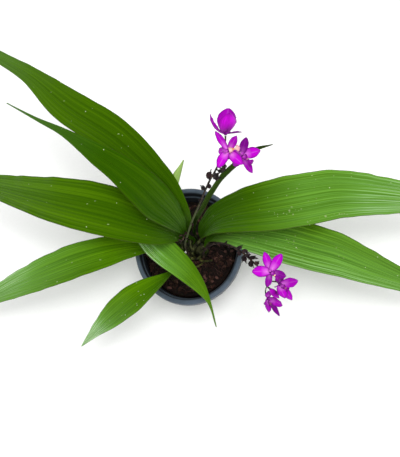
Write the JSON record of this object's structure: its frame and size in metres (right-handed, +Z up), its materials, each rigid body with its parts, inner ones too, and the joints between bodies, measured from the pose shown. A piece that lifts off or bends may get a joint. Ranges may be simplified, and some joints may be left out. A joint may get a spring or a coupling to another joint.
{
  "type": "potted philippine ground orchid",
  "caption": "Potted ground orchid with long pleated arching leaves, two slender flower stalks and clusters of magenta blooms, in a round dark nursery pot.",
  "frame": {"origin": "centre of the flat underside of the pot, on the surface that it stands on", "axes": "+Z up along the pot, +X to the plant's right and +Y to its back; the two flower stalks lean to +X, the lower one to the front"},
  "size_m": [0.7664, 0.4573, 0.4044],
  "materials": {
    "pot": "thin blown black plastic, satin, grey-blue in the light",
    "potting_mix": "damp chopped bark and coir, rough",
    "bulb_husk": "olive corms under dry fibrous brown husks, rough",
    "leaf": "pleated leaf, waxy satin",
    "young_leaf": "pale young leaf, waxy satin",
    "stalk": "dark purplish-brown stalk with dry bracts, matte",
    "petal": "velvety magenta, matte with a soft sheen",
    "lip": "velvety deep purple",
    "callus": "waxy orange-yellow"
  },
  "bodies": {
    "root": {"pot": "pot", "soil": "potting_mix", "pseudobulbs": "bulb_husk", "leaf_back_left": "leaf", "leaf_upper_left": "leaf", "leaf_left": "leaf", "leaf_lower_left": "leaf", "leaf_front": "leaf", "leaf_low_front": "leaf", "leaf_young_back": "young_leaf", "leaf_furled": "leaf", "leaf_upper_right": "leaf", "leaf_lower_right": "leaf", "scape_back": "stalk", "scape_front": "stalk", "bloom_back_open_tepals": "petal", "bloom_back_open_lip": "lip", "bloom_back_open_callus": "callus", "bloom_back_top_tepals": "petal", "bloom_back_top_lip": "lip", "bloom_back_top_callus": "callus", "bloom_back_right_tepals": "petal", "bloom_back_right_lip": "lip", "bloom_back_right_callus": "callus", "bloom_front_open_tepals": "petal", "bloom_front_open_lip": "lip", "bloom_front_open_callus": "callus", "bloom_front_right_tepals": "petal", "bloom_front_right_lip": "lip", "bloom_front_right_callus": "callus", "bloom_front_low_tepals": "petal", "bloom_front_low_lip": "lip", "bloom_front_low_callus": "callus", "bud_front": "petal"}
  },
  "joints": []
}
